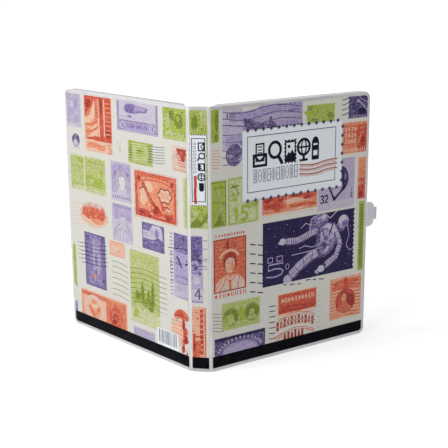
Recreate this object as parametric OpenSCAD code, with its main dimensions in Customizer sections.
// Stamp album: a polypropylene ring case that stands open on its bottom edge.
// Three moulded panels (back cover, spine, front cover) fold on two living hinges. Clear pockets over
// their outer faces hold a printed sheet, a ring mechanism on the spine holds stock leaves, and a
// hinged latch tab on the front cover closes over the back cover's fore-edge wall.
// +Z is up, +X is towards the front cover, +Y is towards the inside of the case. The origin is the
// middle of the spine's bottom edge. Each cover and leaf is drawn in a frame of its own, with X along
// it from its hinge and Y towards its inner face, and is then swung to its opening.

/* [Case] */
// Height of the case
case_h = 290; // [280:1:320]
// Width of a cover, from its hinge to its fore-edge
cover_w = 217; // [212:0.5:240]
// Distance between the two living hinges
hinge_gap = 22.3; // [22.3:0.1:26]
// Thickness of the moulded panels and walls
wall = 1.6; // [1.4:0.1:1.8]
// Radius of the covers' outer corners
corner_r = 8; // [5:0.5:12]
// Gap left between the two covers' wall edges when the case is shut
shut_gap = 0.7; // [0.6:0.1:2]

/* [Opening] */
// Angle that the back cover is opened from shut
back_open = 53; // [0:1:90]
// Angle that the front cover is opened from shut
front_open = 47; // [0:1:90]

/* [Pockets] */
// Thickness of the clear pocket film
film_t = 0.2; // [0.15:0.05:0.3]
// Thickness of the printed sheet
sheet_t = 0.25; // [0.2:0.05:0.35]
// Margin of bare shell around the printed sheet
sheet_margin = 4; // [3:0.5:8]

/* [Rings] */
// Radius of a ring, to the middle of its wire
ring_r = 6.5; // [6:0.1:6.8]
// Radius of the ring wire
wire_r = 1.1; // [0.9:0.1:1.2]
// Distance between neighbouring rings
ring_pitch = 108; // [80:1:108]
// Length of the ring rail
rail_len = 246; // [200:1:250]

/* [Leaves] */
// Height of a leaf
leaf_h = 270; // [250:1:274]
// Reach of a leaf from the middle of the rings
leaf_w = 198; // [180:1:200]
// Thickness of the leaf card
card_t = 0.5; // [0.4:0.1:0.6]
// Number of clear strips on each face of a leaf
strip_count = 5; // [3:1:7]

/* [Latch] */
// Height of the latch's middle above the bottom edge
latch_z = 146; // [120:1:170]
// Reach of the latch tab past the cover's fore-edge
latch_reach = 15.2; // [15:0.1:17]

/* [Hidden] */
$fn = 48;
EPS = 0.01;

// Case
hinge_x = hinge_gap / 2;
depth_in = hinge_x - shut_gap / 2;
panel_start = 1;
spine_half = hinge_x - 1.4;
hinge_bead_r = 0.75;
hinge_web_t = 0.6;
hinge_end = 0.5;
wall_start = 4;
wall_full = 17;

// Pockets
film_edge = 1.2;
film_start = 1.2;
film_rim = 0.25;
sheet_clear = 0.15;
sheet_start = film_start + film_rim + sheet_clear;
spine_film_half = spine_half - 0.05;
spine_sheet_half = spine_film_half - film_rim - sheet_clear;

// Ring mechanism
ring_y = 10.5;
ring_z = [for (i = [-1:1]) case_h / 2 + i * ring_pitch];
ring_from = -68;
ring_to = 89.5;
root_r = 1.3;
root_top = 5;
blade_t = 0.8;
blade_y = 1.7;
blade_half_gap = 0.3;
blade_pivot = [6.5, blade_y + blade_t / 2];
blade_margin = 8;
rail_half = 8;
rail_side = 0.8;
rail_foot = 0.6;
rail_under = 3.7;
rail_top = 4.5;
rail_z0 = (case_h - rail_len) / 2;
rail_z1 = rail_z0 + rail_len;
rivet_r = 1.5;
rivet_head_r = 2.6;
rivet_head_t = 0.6;
rivet_z = [for (s = [-1, 1]) case_h / 2 + s * 70];
rivet_room = 0.8;

// Levers
lever_pin_r = 0.7;
lever_hub_r = 1.3;
lever_bore_r = 0.75;
lever_y = 2.3;
lever_inset = 3.5;
lever_half = 5;
lever_arm = 14;
lever_tilt = 12;
lever_t = 1;
lever_tip_r = 0.6;

// Leaves: distance of the leaf's middle plane from the rings' middle, toward its cover
LEAF_OFFSET = [3.3, 1.1];
// Share of the cover's opening that the leaf takes
LEAF_TURN = [1.012, 0.99];
// Distance of the punched holes from the rings' middle
HOLE_AT = [6.3, 7.15];
hole_r = 3;
leaf_start = 1.2;
leaf_z0 = (case_h - leaf_h) / 2;
leaf_corner = 3;
strip_t = 0.25;
strip_x0 = 14;
strip_margin = 4;
strip_pitch = (leaf_h - 2 * strip_margin) / strip_count;
strip_gap = 5;

// Latch
latch_t = 1;
latch_axis = [cover_w + 0.9, -0.2];
latch_start = 0.7;
latch_root_half = 15;
latch_shoulder = [[5.4, 14], [9.2, 10.5]];
latch_lip_half = 7.4;
latch_bead_r = 0.45;
catch_at = 12.9;
catch_w = 0.8;
catch_h = 0.9;
catch_half = 6;
catch_clear = 0.3;
recess_depth = 0.8;
grip_at = [3.6, 7.4];
grip_w = 1.1;
grip_h = 0.3;

// Swings a cover's own frame to its place: side is 1 for the front cover and -1 for the back cover
module on_cover(side, open) {
    translate([side * hinge_x, 0, 0]) rotate([0, 0, side * (90 - open)])
        mirror([side < 0 ? 1 : 0, 0, 0]) children();
}

// Swings a leaf's own frame about the rings' middle, i counting from the leaf next to the cover
module on_leaf(side, open, i) {
    translate([0, ring_y, 0]) rotate([0, 0, side * (90 - open * LEAF_TURN[i])])
        mirror([side < 0 ? 1 : 0, 0, 0]) translate([0, -LEAF_OFFSET[i], 0]) children();
}

// Extrudes an outline drawn in X and Z between two heights above the panel's middle plane
module plate(y0, y1) {
    translate([0, y1, 0]) rotate([90, 0, 0]) linear_extrude(y1 - y0) children();
}

// Rectangle with its two corners on the +X side rounded
module fore_edge_outline(x0, x1, z0, z1, r) {
    translate([x0, z0]) square([x1 - r - x0, z1 - z0]);
    translate([x1 - r - EPS, z0 + r]) square([r + EPS, z1 - z0 - 2 * r]);
    for (z = [z0 + r, z1 - r]) translate([x1 - r, z]) circle(r);
}

module cover_shell() {
    difference() {
        plate(-wall / 2, depth_in) fore_edge_outline(panel_start, cover_w, 0, case_h, corner_r);
        plate(wall / 2, depth_in + 1)
            fore_edge_outline(0, cover_w - wall, wall, case_h - wall, corner_r - wall);
        // The top and bottom walls slope down to the panel before the hinge
        translate([0, 0, -1]) linear_extrude(case_h + 2)
            polygon([[0, wall / 2], [wall_start, wall / 2], [wall_full, depth_in], [wall_full, depth_in + 1],
                [0, depth_in + 1]]);
    }
}

// Recess in the fore-edge wall that the latch's catch ridge snaps into
module catch_recess() {
    shut_y = hinge_gap - (latch_axis[1] + catch_at + catch_w);
    translate([cover_w - recess_depth, shut_y - catch_clear, latch_z - catch_half - catch_clear])
        cube([recess_depth + 1, catch_w + 2 * catch_clear, 2 * (catch_half + catch_clear)]);
}

module cover_film() {
    outer = -wall / 2 - sheet_t;
    difference() {
        plate(outer - film_t, -wall / 2)
            fore_edge_outline(film_start, cover_w - film_edge, film_edge, case_h - film_edge,
                corner_r - film_edge);
        plate(outer, 0)
            fore_edge_outline(sheet_start - sheet_clear, cover_w - sheet_margin + sheet_clear,
                sheet_margin - sheet_clear, case_h - sheet_margin + sheet_clear,
                corner_r - sheet_margin + sheet_clear);
    }
}

module cover_sheet() {
    plate(-wall / 2 - sheet_t, -wall / 2)
        fore_edge_outline(sheet_start, cover_w - sheet_margin, sheet_margin, case_h - sheet_margin,
            corner_r - sheet_margin);
}

module spine_panel() {
    color([0.86, 0.85, 0.90, 0.8]) translate([-spine_half, -wall / 2, 0])
        cube([2 * spine_half, wall, case_h]);
}

module spine_pocket_film() {
    outer = -wall / 2 - sheet_t;
    room = spine_sheet_half + sheet_clear;
    color([0.93, 0.94, 0.97, 0.3]) difference() {
        translate([-spine_film_half, outer - film_t, film_edge])
            cube([2 * spine_film_half, sheet_t + film_t, case_h - 2 * film_edge]);
        translate([-room, outer, sheet_margin - sheet_clear])
            cube([2 * room, 1, case_h - 2 * (sheet_margin - sheet_clear)]);
    }
}

module spine_print_sheet() {
    color([0.62, 0.68, 0.25]) translate([-spine_sheet_half, -wall / 2 - sheet_t, sheet_margin])
        cube([2 * spine_sheet_half, sheet_t, case_h - 2 * sheet_margin]);
}

// Thin strip that flexes, with a round bead on the axis that the cover turns about
module hinge_web(side) {
    color([0.92, 0.92, 0.95, 0.8]) {
        translate([side * hinge_x, 0, hinge_end]) cylinder(r = hinge_bead_r, h = case_h - 2 * hinge_end);
        translate([side > 0 ? spine_half : -hinge_x, -hinge_web_t / 2, hinge_end])
            cube([hinge_x - spine_half, hinge_web_t, case_h - 2 * hinge_end]);
    }
}

module back_hinge_web() hinge_web(-1);

module front_hinge_web() hinge_web(1);

// Sheet metal channel over the blades, with inturned feet and a slot for each ring
module ring_rail() {
    slot_x = blade_pivot[0] - 0.5;
    color([0.78, 0.79, 0.81]) difference() {
        translate([-rail_half, wall / 2, rail_z0]) cube([2 * rail_half, rail_top - wall / 2, rail_len]);
        translate([-rail_half + rail_side, wall / 2 + rail_foot, rail_z0 - 1])
            cube([2 * (rail_half - rail_side), rail_under - wall / 2 - rail_foot, rail_len + 2]);
        translate([-rail_half + 2 * rail_side, 0, rail_z0 - 1])
            cube([2 * (rail_half - 2 * rail_side), 2, rail_len + 2]);
        for (z = ring_z) translate([-slot_x, rail_under - 1, z - root_r - 0.6])
            cube([2 * slot_x, 2, 2 * (root_r + 0.6)]);
        for (z = rivet_z) translate([0, rail_under - 1, z]) rotate([-90, 0, 0]) cylinder(r = rivet_r, h = 2);
        for (z = [rail_z0 + lever_inset, rail_z1 - lever_inset])
            translate([-rail_half - 1, lever_y, z]) rotate([0, 90, 0])
                cylinder(r = lever_pin_r, h = 2 * rail_half + 2);
    }
}

module rail_rivets() {
    color([0.70, 0.71, 0.73]) for (z = rivet_z) translate([0, wall / 2, z]) rotate([-90, 0, 0]) {
        cylinder(r = rivet_r, h = rail_top - wall / 2);
        translate([0, 0, rail_top - wall / 2]) cylinder(r = rivet_head_r, h = rivet_head_t);
    }
}

module lever_pins() {
    color([0.70, 0.71, 0.73]) for (z = [rail_z0 + lever_inset, rail_z1 - lever_inset])
        translate([-rail_half, lever_y, z]) rotate([0, 90, 0]) cylinder(r = lever_pin_r, h = 2 * rail_half);
}

module back_cover_shell() {
    color([0.86, 0.85, 0.90, 0.8]) on_cover(-1, back_open) difference() {
        cover_shell();
        catch_recess();
    }
}

module back_pocket_film() {
    color([0.93, 0.94, 0.97, 0.3]) on_cover(-1, back_open) cover_film();
}

module back_print_sheet() {
    color([0.83, 0.45, 0.28]) on_cover(-1, back_open) cover_sheet();
}

module front_cover_shell() {
    color([0.86, 0.85, 0.90, 0.8]) on_cover(1, front_open) cover_shell();
}

module front_pocket_film() {
    color([0.93, 0.94, 0.97, 0.3]) on_cover(1, front_open) cover_film();
}

module front_print_sheet() {
    color([0.25, 0.20, 0.45]) on_cover(1, front_open) cover_sheet();
}

module latch_hinge_web() {
    half = latch_root_half - 1;
    color([0.88, 0.88, 0.92, 0.8]) on_cover(1, front_open) {
        translate([latch_axis[0], latch_axis[1], latch_z - half]) cylinder(r = latch_bead_r, h = 2 * half);
        translate([cover_w, latch_axis[1] - hinge_web_t / 2, latch_z - half])
            cube([latch_axis[0] - cover_w, hinge_web_t, 2 * half]);
    }
}

// Tapered tab with a narrower lip, grip ridges outside and a catch ridge inside
module latch_tab() {
    a = latch_axis[0];
    x0 = a + latch_start;
    x1 = cover_w + latch_reach;
    y0 = latch_axis[1] - latch_t / 2;
    y1 = latch_axis[1] + latch_t / 2;
    s = latch_shoulder;
    half = [[x0, latch_root_half], [x0 + s[0][0], s[0][1]], [x0 + s[1][0], s[1][1]],
        [x0 + s[1][0], latch_lip_half], [x1, latch_lip_half]];
    other = [for (i = [len(half) - 1:-1:0]) [half[i][0], -half[i][1]]];
    color([0.72, 0.72, 0.76, 0.9]) on_cover(1, front_open) translate([0, 0, latch_z]) {
        plate(y0, y1) polygon(concat(half, other));
        translate([a + catch_at, y1 - EPS, -catch_half]) cube([catch_w, catch_h + EPS, 2 * catch_half]);
        for (g = grip_at) translate([a + g, y0 - grip_h, -latch_shoulder[1][1]])
            cube([grip_w, grip_h + EPS, 2 * latch_shoulder[1][1]]);
    }
}

// Spring steel strip that carries three half rings and tips about its outer edge
module blade() {
    z0 = rail_z0 + blade_margin;
    difference() {
        union() {
            translate([blade_half_gap, blade_y, z0])
                cube([blade_pivot[0] - blade_half_gap, blade_t, rail_len - 2 * blade_margin]);
            translate([blade_pivot[0], blade_pivot[1], z0])
                cylinder(r = blade_t / 2, h = rail_len - 2 * blade_margin);
        }
        for (z = rivet_z) translate([0, 0, z - rivet_r - rivet_room])
            cube([rivet_r + rivet_room, 4, 2 * (rivet_r + rivet_room)]);
    }
}

module half_rings() {
    root_x = ring_r * cos(ring_from);
    for (z = ring_z) translate([0, 0, z]) {
        translate([0, ring_y, 0]) rotate([0, 0, ring_from])
            rotate_extrude(angle = ring_to - ring_from) translate([ring_r, 0]) circle(wire_r);
        translate([root_x, blade_y + blade_t, 0]) rotate([-90, 0, 0])
            cylinder(r = root_r, h = root_top - blade_y - blade_t);
    }
}

module left_blade() {
    color([0.72, 0.73, 0.75]) mirror([1, 0, 0]) blade();
}

module left_half_rings() {
    color([0.80, 0.81, 0.83]) mirror([1, 0, 0]) half_rings();
}

module right_blade() {
    color([0.72, 0.73, 0.75]) blade();
}

module right_half_rings() {
    color([0.80, 0.81, 0.83]) half_rings();
}

// Finger lever at the rail's end, drawn at the top; the hub turns on its pin
module lever() {
    translate([0, lever_y, rail_z1 - lever_inset]) rotate([-lever_tilt, 0, 0]) {
        difference() {
            union() {
                translate([-lever_half, 0, 0]) rotate([0, 90, 0]) cylinder(r = lever_hub_r, h = 2 * lever_half);
                translate([-lever_half, -lever_t / 2, 0]) cube([2 * lever_half, lever_t, lever_arm]);
            }
            translate([-lever_half - 1, 0, 0]) rotate([0, 90, 0])
                cylinder(r = lever_bore_r, h = 2 * lever_half + 2);
        }
        translate([-lever_half, 0, lever_arm]) rotate([0, 90, 0]) cylinder(r = lever_tip_r, h = 2 * lever_half);
    }
}

module top_lever() {
    color([0.80, 0.81, 0.83]) lever();
}

module bottom_lever() {
    color([0.80, 0.81, 0.83]) translate([0, 0, case_h]) mirror([0, 0, 1]) lever();
}

// Punched card leaf, i counting from the leaf next to the cover
module leaf_card(i) {
    z0 = leaf_z0;
    z1 = leaf_z0 + leaf_h;
    difference() {
        plate(-card_t / 2, card_t / 2) fore_edge_outline(leaf_start, leaf_w, z0, z1, leaf_corner);
        for (z = ring_z) translate([HOLE_AT[i], -1, z]) rotate([-90, 0, 0]) cylinder(r = hole_r, h = 2);
    }
}

// Clear strips welded along their lower edges to both faces of a leaf
module leaf_strips() {
    for (face = [0, 1], k = [0:strip_count - 1]) mirror([0, face, 0])
        translate([strip_x0, card_t / 2, leaf_z0 + strip_margin + k * strip_pitch])
            cube([leaf_w - strip_margin - strip_x0, strip_t, strip_pitch - strip_gap]);
}

module card_colour() color([0.09, 0.09, 0.10]) children();

module strip_colour() color([0.85, 0.88, 0.92, 0.35]) children();

module leaf_1_card() card_colour() on_leaf(-1, back_open, 0) leaf_card(0);

module leaf_1_strips() strip_colour() on_leaf(-1, back_open, 0) leaf_strips();

module leaf_2_card() card_colour() on_leaf(-1, back_open, 1) leaf_card(1);

module leaf_2_strips() strip_colour() on_leaf(-1, back_open, 1) leaf_strips();

module leaf_3_card() card_colour() on_leaf(1, front_open, 1) leaf_card(1);

module leaf_3_strips() strip_colour() on_leaf(1, front_open, 1) leaf_strips();

module leaf_4_card() card_colour() on_leaf(1, front_open, 0) leaf_card(0);

module leaf_4_strips() strip_colour() on_leaf(1, front_open, 0) leaf_strips();

spine_panel();
spine_pocket_film();
spine_print_sheet();
back_hinge_web();
front_hinge_web();
ring_rail();
rail_rivets();
lever_pins();
back_cover_shell();
back_pocket_film();
back_print_sheet();
front_cover_shell();
front_pocket_film();
front_print_sheet();
latch_hinge_web();
latch_tab();
left_blade();
left_half_rings();
right_blade();
right_half_rings();
top_lever();
bottom_lever();
leaf_1_card();
leaf_1_strips();
leaf_2_card();
leaf_2_strips();
leaf_3_card();
leaf_3_strips();
leaf_4_card();
leaf_4_strips();
